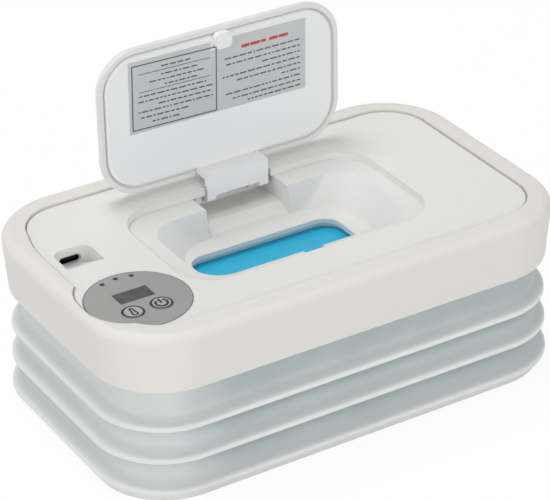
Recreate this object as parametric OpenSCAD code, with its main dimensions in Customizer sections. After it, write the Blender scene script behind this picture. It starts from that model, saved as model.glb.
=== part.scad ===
// Travel baby wipe warmer: a folding silicone skirt with a heated, lidded head.
// Origin: middle of the footprint, on the surface it stands on. +Z up, front is -Y.
// The lid is drawn open, as it stands when wipes are being taken.

/* [Overall] */
// Length of the rim band
body_l = 200; // [190:1:230]
// Width of the rim band
body_w = 123; // [118:1:140]
// Outer corner radius of the rim band
corner_r = 31; // [28:0.5:34]
// Height of the control panel above the table, skirt extended
panel_h = 72; // [68:1:90]

/* [Rim band] */
// Height of the band, from its top lip to its lower edge
band_h = 24.6; // [22:0.2:27]
// Wall of the silicone band
band_t = 2.2; // [1.6:0.1:2.6]
// Radius of the band's soft top edge
band_top_r = 4; // [3:0.25:5]
// How far the band's lower edge lies inside its top edge
band_draft = 1.4; // [0.5:0.1:2]
// Width of the lip that laps over the head
lip_w = 10; // [8:0.25:12]
// Height of the lip above the panel
lip_rise = 0.8; // [0.4:0.1:1.2]
// Radius of the corners of the lip's inner edge
seam_r = 18.8; // [14:0.2:22]
// Width of the lip beside the USB inlet
lip_side_w = 7; // [6.6:0.1:9]
// Gap between the lip's inner edge and the panel
seam_gap = 0.6; // [0.3:0.1:0.9]

/* [Folding skirt] */
// Number of folds
fold_n = 3; // [2:1:4]
// Depth of a fold
fold_depth = 7.4; // [6:0.1:8]
// Wall of the skirt
skirt_t = 1.4; // [1:0.1:1.8]
// Radius of the rounded rim of each fold
fold_tip_r = 1; // [0.8:0.05:1.3]
// Drop from the band's lower edge to the first fold's rim
first_drop = 15.8; // [14:0.1:17]
// Height of the short underside of each fold
under_h = 2.4; // [2:0.1:4]

/* [Base] */
// Thickness of the base plate
base_t = 2.4; // [2:0.1:3]
// Thickness of the feet
foot_t = 0.8; // [0.6:0.1:1.5]
// Radius of a foot
foot_r = 7; // [5:0.5:9]

/* [Head housing] */
// Thickness of the panel
panel_t = 2.2; // [1.8:0.1:2.6]
// Thickness of the housing's side wall
wall_t = 1.6; // [1.4:0.1:1.8]
// Depth of the housing's side wall below the panel
wall_h = 20; // [19:0.5:21]
// Thickness of the lower housing's plate
tray_t = 2; // [1.6:0.1:2.4]

/* [Dispensing well] */
// Depth of the ledge that the lid rests on
ledge_d = 3; // [2.5:0.1:3.4]
// Length of the well at the ledge
well_l = 92.8; // [86:0.2:94]
// Width of the well at the ledge
well_w = 47.5; // [44:0.5:48]
// Left-right place of the well's middle
well_x = -0.6; // [-2:0.1:2]
// Front-back place of the well's middle
well_y = -3.25; // [-4:0.25:-3]
// Depth of the well's floor below the panel
well_d = 14.4; // [13.6:0.1:14.8]
// Length of the well's floor
floor_l = 76; // [74:0.5:80]
// Width of the well's floor
floor_w = 43; // [41:0.5:44]
// Corner radius of the well at the ledge
well_r = 12; // [10:0.5:14]
// Corner radius of the well's floor
floor_r = 17; // [14:0.5:19]
// Length of the opening that the wipes come through
slot_l = 66; // [56:0.5:68]
// Width of the opening that the wipes come through
slot_w = 30; // [26:0.5:31]
// Corner radius of that opening
slot_r = 7; // [5:0.5:10]
// Left-right place of the opening's middle
slot_x = -4; // [-5:0.5:0]
// Front-back place of the opening's middle
slot_y = -6.7; // [-8:0.1:-6]

/* [Pull seal] */
// Thickness of the seal sheet
seal_t = 0.8; // [0.6:0.1:1]
// Length of the pull slot in the seal
pull_l = 42; // [30:1:48]
// Width of the pull slot in the seal
pull_w = 6; // [5:0.5:7]
// Distance of the pull slot in front of the opening's middle
pull_y = 7.5; // [6:0.5:9]

/* [Heater] */
// Thickness of the heating plate
plate_t = 1.2; // [0.8:0.1:1.6]
// Thickness of the heating film
film_t = 0.5; // [0.3:0.1:0.6]
// Thickness of the insulation pad
pad_t = 2.5; // [2:0.1:3]
// Margin of the plate round the opening
heat_margin = 5; // [4:0.5:7]

/* [Lid] */
// Length of the lid
lid_l = 107.6; // [102:0.2:108]
// Width of the lid, hinge side to free edge
lid_w = 61.4; // [59:0.1:62]
// Corner radius of the lid
lid_r = 17; // [15:0.5:18]
// Height of the lid
lid_h = 5; // [4.5:0.1:5.5]
// Left-right place of the lid's middle
lid_x = -1.2; // [-2:0.1:0]
// Place of the lid's hinge-side edge when shut
lid_back_y = 29; // [28.8:0.1:29.2]
// Radius of the lid's top edge
lid_top_r = 4; // [3:0.25:4.25]
// Width of the shell's rim
lid_rim_w = 2.2; // [2:0.1:2.8]
// Width of the groove between rim and liner
groove_w = 0.7; // [0.5:0.1:1]
// Depth of that groove
groove_d = 0.9; // [0.5:0.1:1.2]
// Thickness of the liner and of the shell's top
lid_t = 2; // [1.6:0.1:2.2]

/* [Label] */
// Length of the label
label_l = 79; // [60:1:82]
// Width of the label
label_w = 30.2; // [24:0.2:33]
// Left-right place of the label's middle
label_x = -2.4; // [-4:0.1:0]
// Front-back place of the label's middle, lid shut
label_y = -11.6; // [-12:0.1:-9]
// Turn of the label on the liner
label_tilt = 0.6; // [-2:0.1:2]

/* [Hinge] */
// Distance of the hinge axis behind the shut lid
hinge_back = 7.3; // [7.2:0.1:7.6]
// Depth of the hinge axis below the panel
hinge_d = 5.2; // [5.1:0.1:5.4]
// Radius of the hinge pin
pin_r = 1; // [0.8:0.05:1.1]
// Radius of the hinge knuckles
knuckle_r = 2.6; // [2.3:0.1:2.7]
// Width of the hinge arm
arm_w = 28; // [24:0.5:30]
// Left-right place of the arm's middle
arm_x = 0.5; // [-1:0.1:1]
// Thickness of the arm
arm_t = 2; // [1.6:0.1:2.2]
// Width of each ear of the arm
ear_w = 4; // [3:0.25:5]
// Width of the pocket in front of the arm
pocket_w = 36.5; // [35:0.5:38]
// Left-right place of that pocket's middle
pocket_x = -1.75; // [-2:0.25:-1]

/* [Controls] */
// Radius of the silver control disc
disc_r = 20.1; // [19.4:0.1:20.3]
// Thickness of the control disc
disc_t = 1.2; // [0.8:0.1:1.4]
// Distance of the disc's middle from the left side
disc_in_x = 22.9; // [22.6:0.1:24]
// Distance of the disc's middle from the front side
disc_in_y = 33.1; // [32.6:0.1:35]
// Length of the display window
window_l = 14; // [12:0.25:15]
// Width of the display window
window_w = 7.5; // [6:0.25:8]
// Distance of the display behind the disc's middle
window_y = 3.65; // [3:0.05:4.5]
// Radius of the keys
key_r = 4.15; // [3.8:0.05:4.3]
// Distance of each key from the disc's centre line
key_x = 5.85; // [5.6:0.05:6.5]
// Distance of the keys in front of the disc's middle
key_y = 7; // [6.8:0.1:8]
// Press of the keys
key_travel = 0.5; // [0.3:0.05:0.6]
// Radius of an indicator dot
led_r = 0.95; // [0.8:0.05:1.2]
// Distance of the indicator dots from the disc's middle
led_ring_r = 17.4; // [16.5:0.1:17.6]
// Angle between two indicator dots
led_step = 20.5; // [16:0.5:24]

/* [USB inlet] */
// Distance of the socket's middle from the left side
usb_in_x = 19; // [18.4:0.1:19.6]
// Place of the wall that holds the socket
usb_wall_y = 18.4; // [17:0.2:19]
// Depth of the socket's middle below the panel
usb_d = 4.9; // [4.6:0.1:5]
// Width of the recess in front of the socket
scoop_w = 15.4; // [14:0.2:17]
// Length of that recess's sloping floor
scoop_l = 14; // [12:0.5:15]
// Depth of the recess at the socket
scoop_d = 7; // [6.8:0.1:7.2]

/* [Electronics] */
// Thickness of the circuit boards
board_t = 1.6; // [1:0.1:1.6]
// Length of the control board, front to back
board_l = 48; // [46:1:50]
// Width of the control board
board_w = 32; // [31:0.5:33]
// Height of a switch's body
switch_h = 3.4; // [3:0.1:3.5]
// Radius of the screws' shanks
screw_r = 1.3; // [1.1:0.1:1.5]
// Radius of a wire
wire_r = 0.6; // [0.5:0.05:0.7]

/* [Hidden] */

$fn = 64;
eps = 0.01;          // overrun of a cut past a face
gap = 0.3;           // between pieces that move on each other
fit = 0.1;           // round a piece that is laid in its seat
run = 0.05;          // radial play of a pin in its bore

hx = body_l / 2;
hy = body_w / 2;

// Heights, from the table up
base_z = foot_t + base_t;
lip_z = panel_h + lip_rise;
lip_under = lip_z - band_t;
band_z = lip_z - band_h;
flange_z = lip_under - fit;
flange_t = 1.8;
panel_under = panel_h - panel_t;
ledge_z = panel_h - ledge_d;
floor_z = panel_h - well_d;
floor_under = floor_z - panel_t;
wall_z = panel_h - wall_h;

// Insets from the outer side of the band
wall_in = band_t + band_draft + fit;
collar_in = wall_in + wall_t + gap + skirt_t / 2;
tray_in = collar_in + skirt_t / 2 + gap;
base_in = 3;
bead_h = 2;

// Skirt: rims of the folds, top to bottom, then the flange on the base plate
bend_lap = 0.03;     // how far a bend stands proud of its two walls
skirt_foot_z = base_z + skirt_t / 2 + bend_lap;
last_rise = 1.7;
ridge_1 = band_z - first_drop;
ridge_n = skirt_foot_z + last_rise;
fold_pitch = (ridge_1 - ridge_n) / (fold_n - 1);
collar_z = wall_z + 2;
collar_foot = band_z - 3.9;
fold_rim_in = 0.1 + fold_tip_r;
fold_step = 0.7;     // each rim stands out past the one above it

// Tray, seal and heater, hung under the well's floor
tray_drop = 1;
tray_top = floor_under - tray_drop;
tray_z = tray_top - tray_t;
tray_flange_t = 1.5;
tray_rim_t = 2;
seal_lap = 4;
seal_bed = 0.2;
seal_z = tray_z + seal_bed;
seal_rib_in = 1.6;
seal_rib_t = 1.4;
pad_z = tray_z - pad_t;
film_z = pad_z - film_t;
plate_z = film_z - plate_t;
plate_in = tray_in + tray_rim_t + gap;
pad_in = 12;
film_in = 16;

// Lid and hinge
lid_seat = 0.5;
lid_z = ledge_z + lid_seat;
lid_top = lid_z + lid_h;
lid_y = lid_back_y - lid_w / 2;
lid_chamfer = 0.3;
lid_ring_w = lid_top_r + 2;
lid_gap = 0.4;
swing_gap = 1.9;
recess_back = lid_back_y + swing_gap;
recess_front = lid_back_y - lid_w - lid_gap;
recess_l = lid_l + 2 * lid_gap;
recess_w = recess_back - recess_front;
recess_y = (recess_back + recess_front) / 2;
recess_r = lid_r - 1.5;
liner_in = lid_rim_w + groove_w;
liner_face = lid_z - 0.1;
liner_edge_r = 1.2;
hinge_y = lid_back_y + hinge_back;
hinge_z = panel_h - hinge_d;
lid_open = 90;
arm_reach = 10.4;    // from the axis to the far face of the arm's wall
arm_drop = 5.2;      // from the axis to the under face of the arm's plate
arm_clear = 1;       // beside the arm
arm_seat = 0.2;      // how far the arm's seat reaches into the rim
cavity_x0 = arm_x - arm_w / 2 - arm_clear;
cavity_x1 = arm_x + arm_w / 2 + arm_clear;
cavity_z = hinge_z - arm_drop - 1.1;
cavity_back = hinge_y + knuckle_r + 0.6;
slot_back = hinge_y - arm_drop + arm_t + gap;
pocket_t = 2;
pocket_front = lid_back_y - 12;
riser_y0 = lid_back_y - 8.7;
riser_y1 = lid_back_y - 3.1;
bracket_w = 3;       // holds the pin's left end, beside the arm
bracket_r = 2.4;
pin_x0 = cavity_x0 - bracket_w;
pin_l = pocket_x + pocket_w / 2 + pocket_t - pin_x0;
knuckle_at = [[-9.5, 5.8], [6.4, 3.3]];    // the housing's knuckles: place from arm_x, width
catch_w = 7;
catch_x = -1;
catch_front = recess_front + 2.2;
catch_l = 6.4;
catch_h = 3;
catch_r = 2;
catch_at = [catch_x, catch_front + catch_l / 2];
catch_gap = 0.8;     // round the catch in its pocket
catch_wall = 1.5;
label_t = 0.2;
label_gap = 1.2;     // between the label and the catch

// Controls
disc_x = -hx + disc_in_x;
disc_y = -hy + disc_in_y;
disc_z = panel_h + 0.05;
seat_z = disc_z - disc_t;
seat_t = 2.2;
seat_under = seat_z - seat_t;
relief_r = 18;       // of the lip's bulge round the disc
relief_x = disc_x - 2.4;
relief_y0 = disc_y + 1.4;
relief_y1 = disc_y + 7.9;
side_r = 60;         // of the lip's inner edge beside the USB inlet
window_lap = 1;
key_rise = 0.2;
key_flange = 0.85;
key_flange_t = 1.6;
key_flange_z = seat_under - fit - key_flange_t;
plunger_h = 1.5;
plunger_r = 1.7;
switch_w = 6;
board_top = key_flange_z - key_travel - fit - plunger_h - switch_h;
board_z = board_top - board_t;
board_x = disc_x + 3.1;
board_y = disc_y + 8.4;
board_r = 12;
led_h = 0.9;
pipe_flange_t = 1;

// USB inlet
usb_x = -hx + usb_in_x;
usb_z = panel_h - usb_d;
usb_w = 9;
usb_h = 3.2;
usb_len = 7.4;
usb_shell_t = 0.3;
usb_set_in = 0.5;
scoop_t = 1.6;
scoop_r = 4;
usb_board_z = usb_z - usb_h / 2 - board_t;
usb_board_w = 16;
usb_board_l = 14;
usb_board_y = usb_wall_y + scoop_t + 0.4;
side_x = -hx + lip_side_w + side_r;
side_y = usb_wall_y - 2.4;
side_y1 = side_y + 22;

// Screws
screw_head_r = 2.6;
screw_head_t = 1.1;
screw_len = 8;
boss_r = 3.3;
boss_gap = 0.9;      // between a boss and the USB board
housing_screw_at = [[-hx + 14, usb_board_y + usb_board_l + boss_r + boss_gap],
                    [hx - 14, hy - 23.5], [hx - 14, -hy + 23.5],
                    [-hx + 40, -hy + 12.5], [2, hy - 12.5], [12, -hy + 15.5]];
board_screw_at = [[board_x - board_w / 2 + 4, board_y + board_l / 2 - 4],
                  [board_x + board_w / 2 - 4, board_y + board_l / 2 - 4],
                  [board_x + board_w / 2 - 3.5, board_y - board_l / 2 + 6]];
usb_screw_at = [[usb_x - 5, usb_board_y + usb_board_l - 3.5],
                [usb_x + 5, usb_board_y + usb_board_l - 3.5]];
board_screw_r = 1;
board_boss_r = 2.6;

// Wiring
wire_x = board_x + board_w / 2 - 8;
wire_hole_y = board_y + board_l / 2 + 14;
wire_hole_l = 12;
wire_hole_w = 5;
sensor_at = [wire_x - 1, wire_hole_y + 8];
sensor_l = 4;
fuse_at = [wire_x + 0.8, wire_hole_y - 8.5];
fuse_l = 9;
bulb_r = 1.2;        // of the sensor and the fuse
bulb_room = 3;       // free length beyond them in the pad

// Parts on the boards: length, width, height
chip = [9, 9, 1.4];
coil = [6, 6.5, 2.3];
lead_plug = [10, 5, 3];
usb_plug = [8, 4, 2.6];
cap_r = [2.5, 2];
cap_h = 3;
lead_plug_y = board_y + board_l / 2 - 12;
usb_plug_y = board_y + 14;
usb_lead_z = board_top + 0.9;

// ---- shared shapes ----

// Rounded rectangle, l by w, corner radius r
module rrect(l, w, r) {
    square([l - 2 * r, w], center = true);
    square([l, w - 2 * r], center = true);
    for (sx = [-1, 1], sy = [-1, 1])
        translate([sx * (l / 2 - r), sy * (w / 2 - r)]) circle(r);
}

// Flat slab with the band's outline drawn in by an inset
module slab(inset, z0, z1) {
    translate([0, 0, z0]) linear_extrude(z1 - z0)
        rrect(body_l - 2 * inset, body_w - 2 * inset, corner_r - inset);
}

// Sweeps a 2D section round a rounded rectangle: x = 0 is its outer side, y is height
module loop_sweep(half_x, half_y, r) {
    for (s = [0, 1]) mirror([s, 0, 0]) translate([half_x - r, 0, 0]) rotate([90, 0, 0])
        linear_extrude(2 * (half_y - r), center = true) translate([r, 0]) children();
    for (s = [0, 1]) mirror([0, s, 0]) translate([0, half_y - r, 0]) rotate([90, 0, 90])
        linear_extrude(2 * (half_x - r), center = true) translate([r, 0]) children();
    for (q = [0:3]) {
        sx = (q == 0 || q == 3) ? 1 : -1;
        sy = q < 2 ? 1 : -1;
        translate([sx * (half_x - r), sy * (half_y - r), 0]) rotate([0, 0, 90 * q])
            rotate_extrude(angle = 90) translate([r, 0]) children();
    }
}

// Straight strip of even thickness with round ends, from p to q
module strip(p, q, t) {
    d = q - p;
    translate(p) circle(t / 2 + bend_lap);
    translate(q) circle(t / 2 + bend_lap);
    translate(p) rotate(atan2(d[1], d[0])) translate([0, -t / 2]) square([norm(d), t]);
}

// Upright rod
module rod(at, r, z0, z1) {
    translate([at[0], at[1], z0]) cylinder(h = z1 - z0, r = r);
}

// Upright block, given its middle
module block(at, l, w, z0, z1) {
    translate([at[0] - l / 2, at[1] - w / 2, z0]) cube([l, w, z1 - z0]);
}

// The lid and its arm are drawn shut and turned open about the hinge axis
module opened() {
    translate([0, hinge_y, hinge_z]) rotate([-lid_open, 0, 0])
        translate([0, -hinge_y, -hinge_z]) children();
}

// ---- base ----

module base_plate() {
    color("whitesmoke") slab(base_in, foot_t, base_z);
}

module feet() {
    color("lightgray") for (sx = [-1, 1], sy = [-1, 1])
        rod([sx * (hx - corner_r), sy * (hy - corner_r)], foot_r, 0, foot_t);
}

function ridge(i) = [-fold_rim_in - (fold_n - 1 - i) * fold_step, ridge_1 - i * fold_pitch];
function valley(i) = [-fold_depth, ridge_1 - i * fold_pitch - under_h];

module bellows_section() {
    strip([-collar_in, collar_z - skirt_t / 2], [-collar_in, collar_foot], skirt_t);
    strip([-collar_in, collar_foot], ridge(0), skirt_t);
    for (i = [0:fold_n - 1]) translate(ridge(i)) circle(fold_tip_r);
    for (i = [0:fold_n - 2]) {
        strip(ridge(i), valley(i), skirt_t);
        strip(valley(i), ridge(i + 1), skirt_t);
    }
    strip(ridge(fold_n - 1), [-fold_depth, skirt_foot_z], skirt_t);
    strip([-fold_depth, skirt_foot_z], [-fold_depth - 6, skirt_foot_z], skirt_t);
}

module bellows() {
    color("lightsteelblue") loop_sweep(hx, hy, corner_r) bellows_section();
}

// ---- rim band ----

// Outline of the panel inside the lip, grown by g: it bulges beside the USB inlet and
// round the control disc
module panel_outline(g) {
    rrect(body_l - 2 * lip_w + 2 * g, body_w - 2 * lip_w + 2 * g, seam_r + g);
    intersection() {
        translate([side_x, side_y]) circle(side_r + g);
        translate([-hx, relief_y0]) square([side_x - side_r / 2 + hx, side_y1 - relief_y0]);
    }
    translate([side_x - side_r - g, relief_y0]) square([side_r / 2, side_y - relief_y0]);
    for (y = [relief_y0, relief_y1]) translate([relief_x, y]) circle(relief_r + g);
    translate([relief_x - relief_r - g, relief_y0])
        square([relief_r, relief_y1 - relief_y0]);
}

module band_section() {
    hem_r = band_t / 2;
    bead_in = collar_in - skirt_t / 2 - gap;
    intersection() {
        translate([-band_top_r, lip_z - band_top_r]) difference() {
            circle(band_top_r);
            circle(band_top_r - band_t);
        }
        translate([-band_top_r, lip_z - band_top_r]) square(band_top_r);
    }
    polygon([[0, lip_z - band_top_r], [-band_draft, band_z + hem_r],
             [-band_draft - band_t, band_z + hem_r], [-band_t, lip_z - band_top_r]]);
    translate([-band_draft - hem_r, band_z + hem_r]) circle(hem_r);
    translate([-lip_w - 4, lip_under]) square([lip_w + 4 - band_top_r, band_t]);
    translate([-bead_in, band_z]) square([bead_in - band_draft - hem_r, bead_h]);
}

module rim_band() {
    color("white") difference() {
        loop_sweep(hx, hy, corner_r) band_section();
        translate([0, 0, lip_under - 1]) linear_extrude(band_t + 2) panel_outline(0);
        rod([disc_x, disc_y], disc_r + fit + gap, seat_under - 1, disc_z + fit);
    }
}

// ---- head housing ----

module well_outline(g) {
    translate([well_x, well_y]) rrect(well_l + 2 * g, well_w + 2 * g, well_r + g);
}

module floor_outline(g) {
    translate([well_x, well_y]) rrect(floor_l + 2 * g, floor_w + 2 * g, floor_r + g);
}

// Well from its ledge to its floor, grown by g
module well_form(g, top, bottom) {
    hull() {
        translate([0, 0, top - eps]) linear_extrude(eps, $fn = 48) well_outline(g);
        translate([0, 0, bottom]) linear_extrude(eps, $fn = 48) floor_outline(g);
    }
}

module slot_outline(g) {
    translate([slot_x, slot_y]) rrect(slot_l + 2 * g, slot_w + 2 * g, slot_r + g);
}

module recess_outline(g) {
    translate([lid_x, recess_y]) rrect(recess_l + 2 * g, recess_w + 2 * g, recess_r + g);
}

// Side view of the hinge cavity, x = front to back
module cavity_side() {
    polygon([[pocket_front, floor_z], [riser_y0, floor_z], [riser_y1, cavity_z],
             [cavity_back, cavity_z], [cavity_back, panel_under],
             [slot_back, panel_under], [slot_back, panel_h + 2], [pocket_front, panel_h + 2]]);
}

// Extrudes a side view along X
module along_x(x0, x1) {
    translate([x0, 0, 0]) rotate([90, 0, 90]) linear_extrude(x1 - x0) children();
}

module hinge_block() {
    x0 = pocket_x - pocket_w / 2 - pocket_t;
    x1 = pocket_x + pocket_w / 2 + pocket_t;
    z0 = cavity_z - pocket_t;
    translate([x0, pocket_front, floor_under])
        cube([x1 - x0, riser_y1 + pocket_t - pocket_front, ledge_z - floor_under]);
    translate([x0, riser_y1, z0])
        cube([x1 - x0, recess_back + pocket_t - riser_y1, ledge_z - z0]);
    translate([x0, recess_back, z0])
        cube([x1 - x0, cavity_back + pocket_t - recess_back, flange_z - z0]);
}

// A knuckle of the housing: it stands on the cavity's back wall, round the pin
module knuckle_side(r) {
    translate([hinge_y, hinge_z]) circle(r);
    translate([hinge_y, hinge_z - r]) square([cavity_back + 1 - hinge_y, 2 * r]);
}

module hinge_cuts() {
    x0 = pocket_x - pocket_w / 2;
    x1 = pocket_x + pocket_w / 2;
    intersection() {
        along_x(x0, x1) cavity_side();
        translate([-hx, 0, 0]) cube([body_l, recess_back, body_w]);
    }
    difference() {
        union() {
            translate([x0, recess_back - 1, cavity_z])
                cube([x1 - x0, cavity_back - recess_back + 1, ledge_z - cavity_z]);
            along_x(cavity_x0, cavity_x1) cavity_side();
        }
        translate([cavity_x0 - bracket_w, hinge_y - bracket_r, hinge_z - bracket_r])
            cube([bracket_w, cavity_back + 1 - hinge_y + bracket_r, panel_h]);
        for (k = knuckle_at)
            along_x(arm_x + k[0], arm_x + k[0] + k[1]) knuckle_side(knuckle_r);
    }
    translate([pin_x0 - eps, hinge_y, hinge_z]) rotate([0, 90, 0])
        cylinder(h = pin_l + 2 * eps, r = pin_r);
}

// Recess in front of the USB socket, grown by g: a sloping floor that rises to the panel
module scoop_form(g, top) {
    intersection() {
        along_x(usb_x - scoop_w / 2 - g, usb_x + scoop_w / 2 + g)
            polygon([[usb_wall_y + g, top], [usb_wall_y + g, panel_h - scoop_d - g],
                     [usb_wall_y - 2 - g, panel_h - scoop_d - g],
                     [usb_wall_y - scoop_l - g, panel_h - g * 0.6],
                     [usb_wall_y - scoop_l - g, top]]);
        translate([usb_x, usb_wall_y - scoop_l + 4, 0]) linear_extrude(panel_h + 2)
            rrect(scoop_w + 2 * g, 2 * scoop_l - 8 + 2 * g, scoop_r);
    }
}

module usb_mouth(g, y0, y1) {
    r = usb_h / 2 + g;
    translate([usb_x, y1, usb_z]) rotate([90, 0, 0]) linear_extrude(y1 - y0)
        rrect(usb_w + 2 * g, usb_h + 2 * g, r - eps);
}

module control_holes(seat_g) {
    for (s = [-1, 1]) rod([disc_x + s * key_x, disc_y - key_y], key_r + seat_g,
                          seat_under - 2, disc_z + 1);
    for (i = [-1:1])
        rod([disc_x + led_ring_r * sin(i * led_step), disc_y + led_ring_r * cos(i * led_step)],
            led_r + run, seat_under - 2, disc_z + 1);
}

module housing_bosses() {
    for (p = housing_screw_at) rod(p, boss_r, tray_top, panel_under);
    for (p = board_screw_at) rod(p, board_boss_r, board_top, panel_under);
    for (p = usb_screw_at) rod(p, board_boss_r, usb_board_z + board_t, panel_under);
}

module housing_shell() {
    loop_sweep(hx - wall_in, hy - wall_in, corner_r - wall_in) {
        translate([-wall_t, wall_z]) square([wall_t, flange_z - wall_z]);
    }
    difference() {
        slab(wall_in, flange_z - flange_t, flange_z);
        translate([0, 0, flange_z - flange_t - 1]) linear_extrude(flange_t + 2)
            panel_outline(-2);
    }
    difference() {
        translate([0, 0, flange_z - flange_t]) linear_extrude(panel_h - flange_z + flange_t)
            panel_outline(-seam_gap);
        translate([0, 0, flange_z - flange_t - eps])
            linear_extrude(panel_under - flange_z + flange_t + eps) panel_outline(-4);
        block([usb_x, usb_board_y + usb_board_l / 2], usb_board_w + 1, usb_board_l + 1,
              flange_z - flange_t - 1, panel_under);
    }
    block(catch_at, catch_w + 2 * catch_gap + 2 * catch_wall,
          catch_l + 2 * catch_gap + 2 * catch_wall,
          liner_face - catch_h - catch_gap - catch_wall, ledge_z - panel_t);
    translate([0, 0, ledge_z - panel_t]) linear_extrude(panel_under - ledge_z + panel_t)
        recess_outline(panel_t);
    well_form(panel_t, ledge_z, floor_under);
    hinge_block();
    rod([disc_x, disc_y], disc_r + gap, seat_under, seat_z);
    intersection() {
        scoop_form(scoop_t, panel_h - eps);
        translate([0, 0, panel_h - scoop_d - scoop_t]) linear_extrude(scoop_d + scoop_t)
            panel_outline(-seam_gap);
    }
    housing_bosses();
    translate([0, 0, seal_z + seal_t]) linear_extrude(floor_z - seal_z - seal_t)
        slot_outline(seal_rib_in + seal_rib_t);
}

module top_housing() {
    color("white") difference() {
        housing_shell();
        translate([0, 0, ledge_z]) linear_extrude(ledge_d + 2) recess_outline(0);
        well_form(0, ledge_z + eps, floor_z);
        translate([0, 0, seal_z]) linear_extrude(floor_z - seal_z + 1) slot_outline(0);
        translate([0, 0, seal_z]) linear_extrude(floor_under - seal_z)
            slot_outline(seal_rib_in);
        hinge_cuts();
        scoop_form(0, panel_h + 2);
        usb_mouth(0.2, usb_wall_y - 1, usb_wall_y + scoop_t + 1);
        rod([disc_x, disc_y], disc_r + fit, seat_z, panel_h + 2);
        control_holes(0.2);
        block([disc_x, disc_y + window_y], window_l - 1.6, window_w - 1.6,
              seat_under - 1, seat_z + 1);
        block([disc_x, disc_y + window_y], window_l + 2 * window_lap + 2 * fit,
              window_w + 2 * window_lap + 2 * fit, seat_z - disc_t, seat_z + 1);
        block(catch_at, catch_w + 2 * catch_gap, catch_l + 2 * catch_gap,
              liner_face - catch_h - catch_gap, ledge_z + 1);
        for (p = housing_screw_at)
            rod(p, screw_r, tray_top - eps, tray_z + screw_head_t + screw_len + 1);
        for (p = board_screw_at) rod(p, board_screw_r, board_top - eps, board_top + 5);
        for (p = usb_screw_at)
            rod(p, board_screw_r, usb_board_z + board_t - eps, usb_board_z + board_t + 3);
    }
}

module lower_housing() {
    color("gainsboro") difference() {
        union() {
            slab(tray_in, tray_z, tray_top + tray_flange_t);
            slab(wall_in + wall_t + fit, tray_top, tray_top + tray_flange_t);
            difference() {
                slab(tray_in, plate_z, tray_z);
                slab(tray_in + tray_rim_t, plate_z - 1, tray_z + 1);
            }
        }
        slab(tray_in + 2, tray_top, tray_top + tray_flange_t + 1);
        for (p = housing_screw_at) rod(p, boss_r + fit, tray_top, tray_top + tray_flange_t + 1);
        translate([0, 0, tray_z - 1]) linear_extrude(tray_t + 2) slot_outline(seal_lap - 1.8);
        translate([0, 0, seal_z]) linear_extrude(tray_t + 2) slot_outline(seal_lap + fit);
        for (p = housing_screw_at) {
            rod(p, screw_r + 0.3, tray_z - 1, tray_top + 1);
            rod(p, screw_head_r + 0.2, tray_z - 1, tray_z + screw_head_t);
        }
        block([wire_x, wire_hole_y], wire_hole_l, wire_hole_w, tray_z - 1, tray_top + 1);
    }
}

module housing_screws() {
    color("silver") for (p = housing_screw_at) difference() {
        union() {
            rod(p, screw_head_r, tray_z, tray_z + screw_head_t);
            rod(p, screw_r, tray_z, tray_z + screw_head_t + screw_len);
        }
        for (a = [0, 90]) translate([p[0], p[1], tray_z]) rotate([0, 0, a])
            cube([2.6, 0.6, 1.2], center = true);
    }
}

// ---- heater ----

// Flat layer under the tray with the wipes' opening through it
module heater_layer(inset, margin, z0, z1) {
    difference() {
        slab(inset, z0, z1);
        translate([0, 0, z0 - 1]) linear_extrude(z1 - z0 + 2) slot_outline(margin);
    }
}

module heating_plate() {
    color("silver") heater_layer(plate_in, heat_margin - 1, plate_z, film_z);
}

module heating_film() {
    color("darkorange") heater_layer(film_in, heat_margin + 1, film_z, pad_z);
}

module insulation_pad() {
    color("ivory") difference() {
        heater_layer(pad_in, heat_margin, pad_z, tray_z);
        block([wire_x, wire_hole_y], wire_hole_l, wire_hole_w, pad_z - 1, tray_z + 1);
        block(sensor_at, 2 * bulb_r + 0.6, sensor_l + 2 * bulb_room + 2, pad_z - 1, tray_z + 1);
        block(fuse_at, 2 * bulb_r + 2, fuse_l + bulb_room, pad_z - 1, tray_z + 1);
    }
}

module thermistor() {
    color("black") translate([sensor_at[0], sensor_at[1], pad_z + bulb_r]) rotate([90, 0, 0])
        cylinder(h = sensor_l, r = bulb_r, center = true);
}

module thermal_fuse() {
    color("dimgray") translate([fuse_at[0], fuse_at[1], pad_z + bulb_r]) rotate([90, 0, 0])
        cylinder(h = fuse_l, r = bulb_r, center = true);
}

module pull_seal() {
    color("deepskyblue") translate([0, 0, seal_z]) linear_extrude(seal_t) difference() {
        slot_outline(seal_lap);
        translate([slot_x, slot_y - pull_y]) rrect(pull_l, pull_w, pull_w / 2 - eps);
    }
}

// ---- electronics ----

module control_board() {
    color("darkgreen") difference() {
        translate([board_x, board_y, board_z]) linear_extrude(board_t)
            rrect(board_w, board_l, board_r);
        for (p = board_screw_at) rod(p, board_screw_r + 0.2, board_z - 1, board_top + 1);
    }
}

module board_parts() {
    color("black") {
        block([board_x - 6, board_y + 6], chip[0], chip[1], board_z - chip[2], board_z);
        block([board_x + 6, board_y - 4], coil[0], coil[1], board_z - coil[2], board_z);
        block([wire_x, lead_plug_y], lead_plug[0], lead_plug[1], board_z - lead_plug[2], board_z);
        rod([board_x + 5, board_y - 14], cap_r[0], board_z - cap_h, board_z);
        rod([board_x - 7, board_y - 8], cap_r[1], board_z - cap_h, board_z);
        block([usb_x + 3, usb_plug_y], usb_plug[0], usb_plug[1], board_top, board_top + usb_plug[2]);
    }
}

module display_module() {
    color("dimgray") block([disc_x, disc_y + window_y], window_l + 2, window_w + 1.5,
                           board_top, seat_under - 2 * fit);
}

module display_window() {
    at = [disc_x, disc_y + window_y];
    color("darkslategray") {
        block(at, window_l, window_w, seat_z - eps, disc_z);
        block(at, window_l + 2 * window_lap, window_w + 2 * window_lap, seat_z - disc_t, seat_z);
    }
}

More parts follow.
